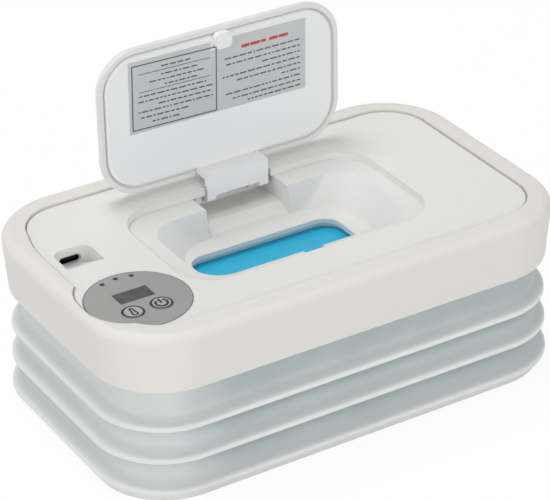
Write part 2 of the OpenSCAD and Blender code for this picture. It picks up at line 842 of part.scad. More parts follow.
module control_overlay() {
    color("darkgray") difference() {
        rod([disc_x, disc_y], disc_r, seat_z, disc_z);
        control_holes(0.25);
        block([disc_x, disc_y + window_y], window_l + 2 * fit, window_w + 2 * fit,
              seat_z - 1, disc_z + 1);
    }
}

function led_at(i) = [disc_x + led_ring_r * sin(i * led_step),
                      disc_y + led_ring_r * cos(i * led_step)];

module indicator_leds() {
    color("white") for (i = [-1:1]) block(led_at(i), 2, 1.2, board_top, board_top + led_h);
}

module light_pipes() {
    color("dimgray") for (i = [-1:1]) {
        rod(led_at(i), led_r, board_top + led_h + 0.3, disc_z);
        rod(led_at(i), led_r + 0.7, seat_under - pipe_flange_t, seat_under);
    }
}

module tact_switches() {
    color("dimgray") for (s = [-1, 1]) {
        at = [disc_x + s * key_x, disc_y - key_y];
        block(at, switch_w, switch_w, board_top, board_top + switch_h);
        rod(at, plunger_r, board_top + switch_h, board_top + switch_h + plunger_h);
    }
}

module usb_board() {
    color("darkgreen") difference() {
        translate([usb_x - usb_board_w / 2, usb_board_y, usb_board_z])
            cube([usb_board_w, usb_board_l, board_t]);
        for (p = usb_screw_at)
            rod(p, board_screw_r + 0.2, usb_board_z - 1, usb_board_z + board_t + 1);
    }
}

module usb_socket() {
    y0 = usb_wall_y + usb_set_in;
    color("silver") {
        difference() {
            usb_mouth(0, y0, y0 + usb_len);
            usb_mouth(-usb_shell_t, y0 - 1, y0 + usb_len - 0.8);
        }
        translate([usb_x - 3.3, y0 + 0.8, usb_z - 0.35]) cube([6.6, usb_len - 1, 0.7]);
    }
}

module board_screws() {
    color("silver") {
        for (p = board_screw_at) {
            rod(p, board_screw_r + 1, board_z - 1, board_z);
            rod(p, board_screw_r, board_z, board_top + 4.5);
        }
        for (p = usb_screw_at) {
            rod(p, board_screw_r + 1, usb_board_z - 1, usb_board_z);
            rod(p, board_screw_r, usb_board_z, usb_board_z + board_t + 1.2);
        }
    }
}

// Corner-cutting: each pass rounds a route's bends
function cut_once(p) = concat([p[0]], [for (i = [0:len(p) - 2], s = [0.25, 0.75])
    p[i] * (1 - s) + p[i + 1] * s], [p[len(p) - 1]]);

function ring_at(p, t, r, n) = let (side = cross(t, [1, 0, 0]) / norm(cross(t, [1, 0, 0])))
    [for (i = [0:n - 1]) p + r * (cos(360 * i / n) * [1, 0, 0] + sin(360 * i / n) * side)];

// Round wire along a route that stays in one plane of equal x
module wire(route, r, n = 8) {
    p = cut_once(cut_once(route));
    m = len(p);
    pts = [for (i = [0:m - 1]) let (t = p[min(i + 1, m - 1)] - p[max(i - 1, 0)])
        each ring_at(p[i], t, r, n)];
    sides = [for (i = [0:m - 2], k = [0:n - 1]) let (a = i * n + k, b = i * n + (k + 1) % n)
        each [[a, b, a + n], [b, b + n, a + n]]];
    caps = [[for (k = [0:n - 1]) n - 1 - k], [for (k = [0:n - 1]) (m - 1) * n + k]];
    polyhedron(pts, concat(sides, caps));
}

// Start of a lead at the control board's plug, down to the hole in the tray
function lead_start(x) = let (y = lead_plug_y + lead_plug[1] / 2, z = board_z - lead_plug[2] / 2)
    [[x, y, z], [x, y + 5, z], [x, wire_hole_y, z - 1],
     [x, wire_hole_y, tray_z]];

module usb_wire(x) {
    y = usb_board_y + 3;
    wire([[x, y, usb_board_z], [x, y, usb_board_z - 0.8], [x, y - 1, usb_lead_z],
          [x, y - 4, usb_lead_z], [x, usb_plug_y + usb_plug[1] / 2, usb_lead_z]], wire_r);
}

module wiring() {
    color("firebrick") {
        for (x = [wire_x - 4, wire_x - 2.6])
            wire(concat(lead_start(x), [[x, wire_hole_y, pad_z]]), wire_r);
        wire(concat(lead_start(sensor_at[0]),
                    [[sensor_at[0], wire_hole_y, pad_z + bulb_r],
                     [sensor_at[0], sensor_at[1] - sensor_l / 2, pad_z + bulb_r]]), wire_r);
        wire(concat(lead_start(fuse_at[0]),
                    [[fuse_at[0], wire_hole_y, pad_z + bulb_r],
                     [fuse_at[0], fuse_at[1] + fuse_l / 2, pad_z + bulb_r]]), wire_r);
        for (x = [usb_x + 1.5, usb_x + 4.5]) usb_wire(x);
    }
}

// ---- lid, drawn shut ----

module hinge_pin() {
    color("silver") translate([pin_x0, hinge_y, hinge_z]) rotate([0, 90, 0])
        cylinder(h = pin_l, r = pin_r);
}

module lid_section() {
    edge_z = lid_top - lid_top_r;
    difference() {
        union() {
            intersection() {
                translate([-lid_top_r, edge_z]) circle(lid_top_r);
                translate([-lid_top_r, edge_z]) square(lid_top_r);
            }
            polygon([[0, edge_z], [0, lid_z + lid_chamfer], [-lid_chamfer, lid_z],
                     [-lid_ring_w, lid_z], [-lid_ring_w, lid_top], [-lid_top_r, lid_top],
                     [-lid_top_r, edge_z]]);
        }
        translate([-lid_ring_w - 1, lid_z - 1])
            square([lid_ring_w + 1 - lid_rim_w, groove_d + 1]);
        translate([-lid_ring_w - 1, lid_z - 1])
            square([lid_ring_w + 1 - liner_in + fit, lid_h - lid_t + 1]);
    }
}

module lid_shell() {
    color("white") opened() difference() {
        translate([lid_x, lid_y, 0]) {
            loop_sweep(lid_l / 2, lid_w / 2, lid_r) lid_section();
            translate([0, 0, lid_top - lid_t]) linear_extrude(lid_t)
                rrect(lid_l - 2 * lid_ring_w, lid_w - 2 * lid_ring_w, lid_r - lid_ring_w);
        }
        translate([arm_x - arm_w / 2 - fit, lid_back_y - liner_in - 1, lid_z - 1])
            cube([arm_w + 2 * fit, liner_in + arm_seat, lid_t + 1.2]);
    }
}

// Side view of an ear of the hinge arm, x = front to back
module ear_side() {
    difference() {
        union() {
            translate([hinge_y, hinge_z]) circle(knuckle_r);
            polygon([[hinge_y - arm_reach + arm_t, hinge_z - arm_drop],
                     [hinge_y + 0.8, hinge_z - arm_drop], [hinge_y + knuckle_r, hinge_z],
                     [hinge_y - knuckle_r, hinge_z],
                     [hinge_y - knuckle_r, hinge_z - arm_drop + arm_t],
                     [hinge_y - arm_reach + arm_t, hinge_z - arm_drop + arm_t]]);
        }
        translate([hinge_y, hinge_z]) circle(pin_r + run);
    }
}

module hinge_arm() {
    wall_y = hinge_y - arm_reach;
    x0 = arm_x - arm_w / 2;
    plate_back = hinge_y - 1;
    translate([x0, wall_y, hinge_z - arm_drop])
        cube([arm_w, arm_t, liner_face + lid_t - hinge_z + arm_drop]);
    translate([x0, wall_y, hinge_z - arm_drop]) cube([arm_w, plate_back - wall_y, arm_t]);
    translate([x0, lid_back_y - liner_in - lid_r, liner_face])
        cube([arm_w, wall_y + arm_t - lid_back_y + liner_in + lid_r, lid_t]);
    along_x(x0, x0 + ear_w) ear_side();
    along_x(x0 + arm_w - ear_w, x0 + arm_w) ear_side();
}

// Rounded edge of the liner, outside its flat plate
module liner_section() {
    intersection() {
        translate([-liner_edge_r, liner_face + liner_edge_r]) circle(liner_edge_r);
        translate([-liner_edge_r, liner_face]) square(liner_edge_r);
    }
    translate([-liner_edge_r, liner_face + liner_edge_r])
        square([liner_edge_r, lid_t - liner_edge_r]);
}

module lid_liner() {
    l = lid_l - 2 * liner_in;
    w = lid_w - 2 * liner_in;
    r = lid_r - liner_in;
    color("whitesmoke") opened() {
        translate([lid_x, lid_y, 0]) {
            loop_sweep(l / 2, w / 2, r) liner_section();
            translate([0, 0, liner_face]) linear_extrude(lid_t)
                rrect(l - 2 * liner_edge_r, w - 2 * liner_edge_r, r - liner_edge_r);
            for (sx = [-1, 1], sy = [-1, 1])
                rod([sx * (l / 2 - r), sy * (w / 2 - r)], 3, liner_face + lid_t, lid_top - lid_t);
        }
        hinge_arm();
        translate([catch_at[0], catch_at[1], liner_face - catch_h]) linear_extrude(catch_h)
            rrect(catch_w, catch_l, catch_r);
    }
}

module lid_label() {
    color("silver") opened() difference() {
        translate([label_x, label_y, liner_face - label_t]) rotate([0, 0, label_tilt])
            linear_extrude(label_t) square([label_l, label_w], center = true);
        block(catch_at, catch_w + 2 * label_gap, catch_l + 2 * label_gap,
              liner_face - 1, liner_face + 1);
    }
}

// ---- keys ----

module key(side) {
    at = [disc_x + side * key_x, disc_y - key_y];
    rod(at, key_r, key_flange_z, disc_z + key_rise);
    rod(at, key_r + key_flange, key_flange_z, key_flange_z + key_flange_t);
}

module temperature_key() {
    color("lightgray") key(-1);
}

module power_key() {
    color("lightgray") key(1);
}

base_plate();
feet();
bellows();
rim_band();
top_housing();
lower_housing();
housing_screws();
heating_plate();
heating_film();
insulation_pad();
thermistor();
thermal_fuse();
pull_seal();
control_board();
board_parts();
display_module();
display_window();
control_overlay();
indicator_leds();
light_pipes();
tact_switches();
usb_board();
usb_socket();
board_screws();
wiring();
hinge_pin();
lid_shell();
lid_liner();
lid_label();
temperature_key();
power_key();
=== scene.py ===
import math
import random

import bpy
from mathutils import Matrix, Vector


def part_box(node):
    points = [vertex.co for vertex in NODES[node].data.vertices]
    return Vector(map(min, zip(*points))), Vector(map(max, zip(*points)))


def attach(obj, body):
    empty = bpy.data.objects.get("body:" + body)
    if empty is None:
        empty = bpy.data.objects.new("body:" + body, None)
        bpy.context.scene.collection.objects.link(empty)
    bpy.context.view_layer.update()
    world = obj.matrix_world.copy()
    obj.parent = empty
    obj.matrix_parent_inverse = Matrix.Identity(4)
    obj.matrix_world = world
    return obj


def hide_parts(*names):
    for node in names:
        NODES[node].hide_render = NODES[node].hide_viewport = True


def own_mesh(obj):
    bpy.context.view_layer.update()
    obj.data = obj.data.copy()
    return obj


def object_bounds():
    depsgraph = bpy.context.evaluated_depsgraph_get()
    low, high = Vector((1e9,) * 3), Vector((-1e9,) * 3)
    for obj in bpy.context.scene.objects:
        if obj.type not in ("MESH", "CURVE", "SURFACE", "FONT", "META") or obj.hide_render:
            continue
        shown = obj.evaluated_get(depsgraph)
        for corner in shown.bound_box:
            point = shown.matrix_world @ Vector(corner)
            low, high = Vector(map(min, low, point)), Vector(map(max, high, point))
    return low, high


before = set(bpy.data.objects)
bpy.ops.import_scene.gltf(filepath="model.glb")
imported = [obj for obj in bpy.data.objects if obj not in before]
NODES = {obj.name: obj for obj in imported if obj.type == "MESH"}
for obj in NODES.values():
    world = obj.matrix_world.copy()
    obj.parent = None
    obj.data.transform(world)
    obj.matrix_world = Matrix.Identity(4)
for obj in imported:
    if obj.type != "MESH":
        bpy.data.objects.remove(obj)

MM = 0.001
cad_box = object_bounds()


# ---------------------------------------------------------------- camera

def look():
    """The photograph's own view: right, up and back of the camera, and its place."""
    right = Vector((0.85299736, -0.52162554, -0.01738663))
    up = Vector((0.27209902, 0.41603333, 0.86768565))
    back = Vector((-0.44537358, -0.74486446, 0.49680913))
    place = Vector((-0.453648, -0.755802, 0.559495))
    data = bpy.data.cameras.new("photo_view")
    data.sensor_width = 36
    data.sensor_fit = "HORIZONTAL"
    data.lens = 171.364
    data.clip_start = 0.01
    data.clip_end = 20
    camera = bpy.data.objects.new("photo_view", data)
    camera.matrix_world = Matrix((
        (right.x, up.x, back.x, place.x),
        (right.y, up.y, back.y, place.y),
        (right.z, up.z, back.z, place.z),
        (0, 0, 0, 1)))
    bpy.context.scene.collection.objects.link(camera)
    bpy.context.scene.camera = camera


look()


# ---------------------------------------------------------------- materials

MIX_FIRST, MIX_SECOND, MIX_RESULT = 6, 7, 2    # the colour sockets of a Mix node
CLOUD_DETAIL = 4
GRAIN_DETAIL = 3
GRAIN_STRENGTH = 0.35
BEVEL_SAMPLES = 6
LEAST_ROUGH = 0.02
SECOND_SHARE = 0.955      # a second colour that isn't given is this share of the first


def lin(r, g, b):
    """A colour read off a screen, 0 to 255, as the shader takes it."""
    return tuple(c / 255 / 12.92 if c <= 10 else ((c / 255 + 0.055) / 1.055) ** 2.4
                 for c in (r, g, b))


def mixed(tree, share, first, second):
    """A colour between two: the first is a colour or a node's output, the second a colour."""
    mix = tree.nodes.new("ShaderNodeMix")
    mix.data_type = "RGBA"
    tree.links.new(share, mix.inputs["Factor"])
    if isinstance(first, tuple):
        mix.inputs[MIX_FIRST].default_value = (*first, 1)
    else:
        tree.links.new(first, mix.inputs[MIX_FIRST])
    mix.inputs[MIX_SECOND].default_value = (*second, 1)
    return mix.outputs[MIX_RESULT]


def noise(tree, place, scale, detail):
    """Noise over the object's own coordinates."""
    texture = tree.nodes.new("ShaderNodeTexNoise")
    texture.inputs["Scale"].default_value = scale
    texture.inputs["Detail"].default_value = detail
    tree.links.new(place.outputs["Object"], texture.inputs["Vector"])
    return texture.outputs["Fac"]


def material(name, colour, rough, second=None, patch=16.0, grain=0.0, grain_scale=1800.0,
             rough_spread=0.06, edge=0.0, tone=None, **sockets):
    """A surface of cloudy colour, uneven gloss and fine grain.

    Grain and the radius of the softened edges are in millimetres. Tone names a mesh
    attribute and the colour that the attribute's value mixes in. Sockets are other inputs
    of the shader.
    """
    mat = bpy.data.materials.new(name)
    mat.use_nodes = True
    tree = mat.node_tree
    nodes, links = tree.nodes, tree.links
    shader = nodes["Principled BSDF"]
    for key, value in sockets.items():
        shader.inputs[key.replace("_", " ")].default_value = value
    place = nodes.new("ShaderNodeTexCoord")
    second = second or tuple(c * SECOND_SHARE for c in colour)
    cloudy = mixed(tree, noise(tree, place, patch, CLOUD_DETAIL), colour, second)
    if tone:
        attribute_name, tone_colour = tone
        attribute = nodes.new("ShaderNodeAttribute")
        attribute.attribute_name = attribute_name
        cloudy = mixed(tree, attribute.outputs["Fac"], cloudy, tone_colour)
    links.new(cloudy, shader.inputs["Base Color"])
    fine = noise(tree, place, grain_scale, GRAIN_DETAIL)
    spread = nodes.new("ShaderNodeMapRange")
    spread.inputs["To Min"].default_value = max(rough - rough_spread, LEAST_ROUGH)
    spread.inputs["To Max"].default_value = rough + rough_spread
    links.new(fine, spread.inputs["Value"])
    links.new(spread.outputs["Result"], shader.inputs["Roughness"])
    bump = nodes.new("ShaderNodeBump")
    bump.inputs["Strength"].default_value = GRAIN_STRENGTH
    bump.inputs["Distance"].default_value = grain * MM
    links.new(fine, bump.inputs["Height"])
    if edge:
        soften = nodes.new("ShaderNodeBevel")
        soften.samples = BEVEL_SAMPLES
        soften.inputs["Radius"].default_value = edge * MM
        links.new(soften.outputs["Normal"], bump.inputs["Normal"])
    links.new(bump.outputs["Normal"], shader.inputs["Normal"])
    return mat


EVEN = (1.0, 1.0, 1.0)
WHITE = material("moulded_white", lin(235, 234, 232), 0.36, grain=0.03, edge=0.8)
LINER = material("moulded_liner", lin(245, 245, 244), 0.4, grain=0.03, edge=0.5)
GREY = material("moulded_grey", lin(206, 208, 210), 0.45, grain=0.03, edge=0.3)
BAND = material("band_silicone", lin(233, 230, 225), 0.62, grain=0.05, grain_scale=1300,
                edge=0.6, Subsurface_Weight=0.1, Subsurface_Scale=0.003,
                Subsurface_Radius=EVEN)
# The lip attribute mixes in a near-white towards each fold's lip: partly the silicone's own
# whiter lips, partly painted highlight on the lips and painted shade under them and in the
# valleys.
SKIRT = material("skirt_silicone", lin(188, 194, 193), 0.5, grain=0.04, patch=60,
                 second=lin(154, 172, 174), tone=("lip", lin(244, 245, 243)),
                 Subsurface_Weight=0.25, Subsurface_Scale=0.004, Subsurface_Radius=EVEN)
BLUE = material("blue_silicone", lin(40, 190, 228), 0.42, second=lin(34, 176, 216), patch=45,
                grain=0.03)
DISC = material("satin_silver", lin(161, 162, 160), 0.42, second=lin(154, 155, 153),
                patch=60, grain=0.015, grain_scale=4200, Metallic=0.25)
KEY = material("key_silver", lin(176, 177, 175), 0.4, patch=90, grain=0.02, Metallic=0.15)
INK = material("dark_ink", lin(12, 12, 13), 0.6, grain=0.01)
WINDOW = material("smoked_window", lin(14, 15, 17), 0.35, second=lin(92, 93, 97),
                  patch=330, rough_spread=0.03)
PIPE = material("smoked_dot", lin(10, 10, 12), 0.5, grain=0.01)
STEEL = material("plated_steel", lin(176, 178, 180), 0.28, patch=200, grain=0.02,
                 Metallic=1.0)
SOCKET = material("socket_steel", lin(196, 197, 198), 0.35, patch=200, grain=0.02,
                  Metallic=0.5)
ALUMINIUM = material("rolled_aluminium", lin(196, 198, 200), 0.34, patch=120, grain=0.03,
                     Metallic=1.0)
FILM = material("label_film", lin(206, 208, 209), 0.34, second=lin(196, 198, 199), patch=40,
                grain=0.01, Metallic=0.1)
RULE = material("printed_grey", lin(84, 85, 90), 0.5, grain=0.01)
RED = material("printed_red", lin(196, 74, 70), 0.5, grain=0.01)
AMBER = material("polyimide", lin(190, 110, 30), 0.3, grain=0.02)
FOAM = material("closed_foam", lin(222, 218, 206), 0.85, patch=300, grain=0.3,
                grain_scale=900)
BOARD = material("solder_mask", lin(22, 92, 52), 0.35, second=lin(16, 74, 42), patch=240,
                 grain=0.03)
BLACK = material("black_plastic", lin(34, 34, 35), 0.45, grain=0.04, edge=0.2)
WIRE = material("wire_cover", lin(176, 34, 28), 0.4, grain=0.02)
FOOT = material("foot_rubber", lin(200, 200, 198), 0.7, grain=0.08, edge=0.2)

# Painted shade: the socket's steel is coloured near-black inside, where shade falls.
SOCKET_PAINTED_SHADE = lin(6, 6, 7)
SOCKET_RIM = 0.25         # how far the socket's bright mouth reaches in


def paint_shade_beyond(mat, obj, y):
    """Paints shade into a material beyond a plane across Y, where shade falls inside a
    socket.
    """
    tree = mat.node_tree
    nodes, links = tree.nodes, tree.links
    place = nodes.new("ShaderNodeTexCoord")
    split = nodes.new("ShaderNodeSeparateXYZ")
    past = nodes.new("ShaderNodeMath")
    past.operation = "GREATER_THAN"
    past.inputs[1].default_value = y - obj.matrix_world.translation.y
    links.new(place.outputs["Object"], split.inputs[0])
    links.new(split.outputs["Y"], past.inputs[0])
    colour = nodes["Principled BSDF"].inputs["Base Color"]
    steel = colour.links[0].from_socket
    links.new(mixed(tree, past.outputs[0], steel, SOCKET_PAINTED_SHADE), colour)


# The socket's steel inside its mouth takes painted shade.
paint_shade_beyond(SOCKET, NODES["usb_socket"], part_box("usb_socket")[0].y + SOCKET_RIM * MM)

FINISH = {
    "base_plate": WHITE, "feet": FOOT, "bellows": SKIRT, "rim_band": BAND,
    "top_housing": WHITE, "lower_housing": GREY, "housing_screws": STEEL,
    "heating_plate": ALUMINIUM, "heating_film": AMBER, "insulation_pad": FOAM,
    "thermistor": BLACK, "thermal_fuse": STEEL, "pull_seal": BLUE, "control_board": BOARD,
    "board_parts": BLACK, "display_module": BLACK, "display_window": WINDOW,
    "control_overlay": DISC, "indicator_leds": BLACK, "light_pipes": PIPE,
    "tact_switches": BLACK, "usb_board": BOARD, "usb_socket": SOCKET,
    "board_screws": STEEL, "wiring": WIRE, "hinge_pin": STEEL, "lid_shell": WHITE,
    "lid_liner": LINER, "lid_label": FILM, "temperature_key": KEY, "power_key": KEY,
}


def dress():
    """Gives each node of the frame its material."""
    for node, finish in FINISH.items():
        mesh = NODES[node].data
        mesh.materials.clear()
        mesh.materials.append(finish)


dress()


# ---------------------------------------------------------------- mesh helpers

def piece(name, verts, faces, finish, body, smooth=True):
    """A new mesh in millimetres that rides on a body."""
    mesh = bpy.data.meshes.new(name)
    mesh.from_pydata([tuple(c * MM for c in v) for v in verts], [], faces)
    mesh.validate()
    mesh.update()
    if smooth:
        for face in mesh.polygons:
            face.use_smooth = True
    mesh.materials.append(finish)
    obj = bpy.data.objects.new(name, mesh)
    bpy.context.scene.collection.objects.link(obj)
    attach(obj, body)
    return obj


def loop(half_x, half_y, r, arc=20, along=28):
    """Points round a rounded rectangle; every call gives the same count."""
    centre_x, centre_y = half_x - r, half_y - r
    centres = [(centre_x, centre_y), (-centre_x, centre_y),
               (-centre_x, -centre_y), (centre_x, -centre_y)]
    points = []
    for corner, (x, y) in enumerate(centres):
        for i in range(arc + 1):
            angle = math.radians(90 * corner + 90 * i / arc)
            points.append((x + r * math.cos(angle), y + r * math.sin(angle)))
        angle = math.radians(90 * (corner + 1))
        next_x, next_y = centres[(corner + 1) % 4]
        x0, y0 = x + r * math.cos(angle), y + r * math.sin(angle)
        x1, y1 = next_x + r * math.cos(angle), next_y + r * math.sin(angle)
        for j in range(1, along):
            share = j / along
            points.append((x0 + (x1 - x0) * share, y0 + (y1 - y0) * share))
    return points


def closed_rings(rings, count):
    """Quads between rings of equal count, with the last ring joined to the first."""
    faces = []
    for i in range(rings):
        j = (i + 1) % rings
        for k in range(count):
            m = (k + 1) % count
            faces.append((i * count + k, j * count + k, j * count + m, i * count + m))
    return faces


def curve(points, steps):
    """Smooth line through the points (Catmull-Rom), each a tuple of any length."""
    out = []
    for i in range(len(points) - 1):
        before = points[max(i - 1, 0)]
        start, end = points[i], points[i + 1]
        after = points[min(i + 2, len(points) - 1)]
        for step in range(steps):
            t = step / steps
            out.append(tuple(
                0.5 * (2 * b + (c - a) * t + (2 * a - 5 * b + 4 * c - d) * t * t
                       + (3 * b - a - 3 * c + d) * t ** 3)
                for a, b, c, d in zip(before, start, end, after)))
    out.append(points[-1])
    return out


# ---------------------------------------------------------------- folding skirt

# Millimetres. An inset is measured in from the body's outline.
BODY_L = round((cad_box[1].x - cad_box[0].x) / MM, 2)
BODY_W = round((cad_box[1].y - cad_box[0].y) / MM, 2)
CORNER = 31.0             # radius of the body's corners
SKIRT_T = 1.3             # thickness of its wall
CURVE_STEPS = 4

# The wall from inside the band down to the first fold
COLLAR_IN = 5.9
COLLAR_GAP = 0.1          # below the top of the modelled bellows
COLLAR_Z = 48.0
COLLAR_END = 3.0          # height of the collar's last stretch

# Inset and height of each fold's rim
RIDGES = [(1.5, 32.4), (0.8, 19.0), (0.1, 5.6)]

# Outline of a fold, each point with its share of the lip's near-white, which paints a
# highlight on the lip and shade under it
FOLD_TOP = (5.7, 7.2, 0.1)                       # inset, height above the rim
LIP = [(4.0, 4.2, 0.28), (2.3, 2.3, 0.46), (1.0, 1.5, 0.74), (0.2, 0.95, 0.92),
       (0.03, 0.2, 0.95), (0.03, -0.5, 0.95), (0.35, -1.0, 0.8),
       (1.5, -1.35, 0.0)]                        # inset and height from the rim
# The valleys keep none of the near-white: painted shade under each lip.
VALLEY_IN = 7.1
VALLEY = [(5.0, -1.9, 0.0), (VALLEY_IN - 0.4, -3.0, 0.0),
          (VALLEY_IN, -4.2, 0.06)]               # inset, height from the rim

# The hem that turns in at the skirt's foot
HEM_OUTER_IN = 7.0
HEM_INNER_IN = 13.2
HEM_OUTER_UP = 0.2        # above the foot of the modelled bellows
HEM_INNER_UP = 0.1

# The left end is painted paler and more even than the rest: painted light, where light from
# the left falls on it
LIT_END_REACH = 1.5          # how far in it starts, in corner radii
LIT_END_RISE = 1.2           # how fast it sets in
LIT_END_LEAST = 0.5          # its least share of the lip's colour
LIT_END_SPAN = 0.32          # how much of the folds' own shading is left there


def clamp(value):
    """The value, kept between 0 and 1."""
    return max(0.0, min(1.0, value))


def shade(tone, x):
    """Share of the lip's colour at a place along the body: painted highlight and shade on the
    folds, and painted light at the left end.
    """
    end = clamp((-x - BODY_L / 2 + CORNER * LIT_END_REACH) / CORNER * LIT_END_RISE)
    return clamp(tone * (1 - end) + (LIT_END_LEAST + LIT_END_SPAN * tone) * end)


def skirt_line(top):
    """The skirt's outer line from the band down, as (inset, height, share of lip colour:
    painted highlight and shade).
    """
    line = [(COLLAR_IN, top - COLLAR_GAP, 0.0), (COLLAR_IN, COLLAR_Z, 0.0),
            (COLLAR_IN, COLLAR_Z - COLLAR_END, 0.05)]
    for i, (rim, z) in enumerate(RIDGES):
        inset, up, tone = FOLD_TOP
        line.append((inset, z + up, tone))
        line += [(rim + inset, z + up, tone) for inset, up, tone in LIP]
        if i < len(RIDGES) - 1:
            line += [(inset, z + up, tone) for inset, up, tone in VALLEY]
    return curve(line, CURVE_STEPS)


def skirt():
    """Three soft folds, each with a narrow standing lip, swept round the body."""
    low, high = (v.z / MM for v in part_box("bellows"))
    line = skirt_line(high)
    inner = [(inset + SKIRT_T, z, tone) for inset, z, tone in reversed(line[::2])]
    hem = [(HEM_OUTER_IN, low + HEM_OUTER_UP, 0.0), (HEM_INNER_IN, low + HEM_INNER_UP, 0.0),
           (HEM_INNER_IN, low + SKIRT_T, 0.0)]
    section = line + hem + inner
    verts, tones = [], []
    for inset, z, tone in section:
        ring = loop(BODY_L / 2 - inset, BODY_W / 2 - inset, CORNER - inset)
        verts += [(x, y, z) for x, y in ring]
        tones += [shade(tone, x) for x, y in ring]
    count = len(verts) // len(section)
    obj = piece("skirt_folds", verts, closed_rings(len(section), count), SKIRT,
                "base")
    # Each point's share of the near-white: painted highlight on the lips, painted shade under
    # them, and painted light at the left end.
    attribute = obj.data.attributes.new("lip", "FLOAT", "POINT")
    attribute.data.foreach_set("value", tones)
    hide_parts("bellows")
    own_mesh(obj)


skirt()


# ---------------------------------------------------------------- printed marks

LAID = 0.015              # how far a printed mark stands off its surface
END_STEPS = 8             # steps round the end of a bar
MARK_INNER = 3.45         # radii of the ring round each key's mark
MARK_OUTER = 4.15
EDGE_W = 0.22             # width of the dark line round the control disc


def flat_ring(x, y, inner, outer, start=0.0, end=360.0, steps=64):
    """A flat ring, or an arc of one between two angles in degrees, as (points, quads)."""
    full = abs(end - start) >= 360.0
    rows = steps if full else steps + 1
    points = []
    for i in range(rows):
        angle = math.radians(start + (end - start) * i / steps)
        points += [(x + inner * math.cos(angle), y + inner * math.sin(angle)),
                   (x + outer * math.cos(angle), y + outer * math.sin(angle))]
    quads = []
    for i in range(steps):
        j = (i + 1) % rows
        quads.append((2 * i, 2 * i + 1, 2 * j + 1, 2 * j))
    return points, quads


def flat_bar(x0, y0, x1, y1, width):
    """Flat bar with round ends, centred on two points, as (points, faces)."""
    along = math.atan2(y1 - y0, x1 - x0)
    ends = (((x1, y1), along - math.pi / 2), ((x0, y0), along + math.pi / 2))
    points = []
    for (x, y), start in ends:
        for i in range(END_STEPS + 1):
            angle = start + math.pi * i / END_STEPS
            points.append((x + width / 2 * math.cos(angle), y + width / 2 * math.sin(angle)))
    return points, [tuple(range(len(points)))]


def printed(name, shapes, place, finish, body):
    """Flat marks laid on a surface, where place() puts each of their points."""
    verts, faces = [], []
    for points, polygons in shapes:
        base = len(verts)
        verts += [place(x, y) for x, y in points]
        faces += [tuple(base + i for i in face) for face in polygons]
    piece(name, verts, faces, finish, body, smooth=False)


def at_height(z):
    """Places flat marks level, at a height."""
    return lambda x, y: (x, y, z)


def middle(node):
    """Middle of a node's box across and back, and its top, in millimetres."""
    low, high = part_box(node)
    return (low.x + high.x) / 2 / MM, (low.y + high.y) / 2 / MM, high.z / MM


def temperature_mark():
    """A thermometer in a ring: its bulb, its two sides and its top."""
    x, y, top = middle("temperature_key")
    printed("temperature_mark", [
        flat_ring(x, y, MARK_INNER, MARK_OUTER),
        flat_ring(x, y - 1.45, 0.65, 1.4, -220, 40, steps=32),
        flat_bar(x - 0.75, y - 0.8, x - 0.5, y + 2.2, 0.72),
        flat_bar(x + 0.75, y - 0.8, x + 0.5, y + 2.2, 0.72),
        flat_bar(x - 0.35, y + 2.4, x + 0.35, y + 2.4, 0.5),
    ], at_height(top + LAID), INK, "temperature_button")


def power_mark():
    """A power sign in a ring: an open circle and its stroke."""
    x, y, top = middle("power_key")
    printed("power_mark", [
        flat_ring(x, y, MARK_INNER, MARK_OUTER),
        flat_ring(x, y - 0.1, 1.75, 2.75, 122, 418, steps=48),
        flat_bar(x, y + 0.2, x, y + 2.4, 1.0),
    ], at_height(top + LAID), INK, "power_button")


def disc_edge():
    """The thin dark line round the control disc."""
    x, y, top = middle("control_overlay")
    low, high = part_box("control_overlay")
    r = (high.x - low.x) / 2 / MM
    printed("disc_edge", [flat_ring(x, y, r - EDGE_W, r, steps=96)],
            at_height(top + LAID), RULE, "head")


temperature_mark()
power_mark()
disc_edge()


# ---------------------------------------------------------------- lid's label

# Places are in millimetres, across and up, with the lid open. The words are plain dashes.
label_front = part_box("lid_label")[0].y / MM - LAID
FRAME_X = -22.0           # middle, length and height of the frame at the label's left
FRAME_Z = 114.4
FRAME_L = 37.0
FRAME_H = 27.0
FRAME_TILT = math.radians(-1.5)
FRAME_LINE = 0.5
BREAK_LINE = 0.3          # the two rules across the frame
BREAK_LEFT = -37.5
BREAK_RIGHT = -6.5
BREAK_AT = (124.0, 116.4)
WORD_SEED = 5
WORD_H = 0.6
WORD_LEAST = 0.9
WORD_MOST = 3.4
WORD_GAP = 0.5
LINE_LEAST = 1.0          # a rest of a line no longer than this stays empty

# Lines in the frame: left, right, height
NOTES = [
    (-29, -15, 125.6), (-28, -12, 122.2), (-34, -9, 120.0), (-27, -12, 117.8),
    (-38, -8, 114.6), (-38, -5, 112.4), (-30, -6, 110.2), (-38, -5, 108.0),
    (-37, -16, 105.6), (-32, -20, 103.2)]

# Lines right of the frame: left, height
TEXT_RIGHT = 34.6
TEXT = [(-1, 121.0), (1, 118.4), (17, 115.9), (-1, 113.3), (5, 110.8), (26, 108.4),
        (0, 105.8), (2, 103.4), (9, 101.2)]

# Bars of the heading: left, length
HEADING_Z = 124.6
HEADING_H = 1.3
HEADING = [(8.6, 2.6), (12.6, 3.4), (17.4, 1.2), (21.2, 3.0), (25.6, 3.2)]


def on_label(x, z):
    """A point on the open lid's label, given across and up."""
    return (x, label_front, z)


def in_frame(x, z):
    """A point on the label, turned with its tilted frame."""
    c, s = math.cos(FRAME_TILT), math.sin(FRAME_TILT)
    dx, dz = x - FRAME_X, z - FRAME_Z
    return (FRAME_X + c * dx - s * dz, label_front, FRAME_Z + s * dx + c * dz)


def words(lines):
    """Plain dashes of uneven length, set like printed lines, from (left, right, height)."""
    rng = random.Random(WORD_SEED)
    bars = []
    for left, right, z in lines:
        x = right
        while x > left + LINE_LEAST:
            length = min(rng.uniform(WORD_LEAST, WORD_MOST), x - left)
            bars.append(flat_bar(x - length + WORD_H / 2, z, x - WORD_H / 2, z, WORD_H))
            x -= length + WORD_GAP
    return bars


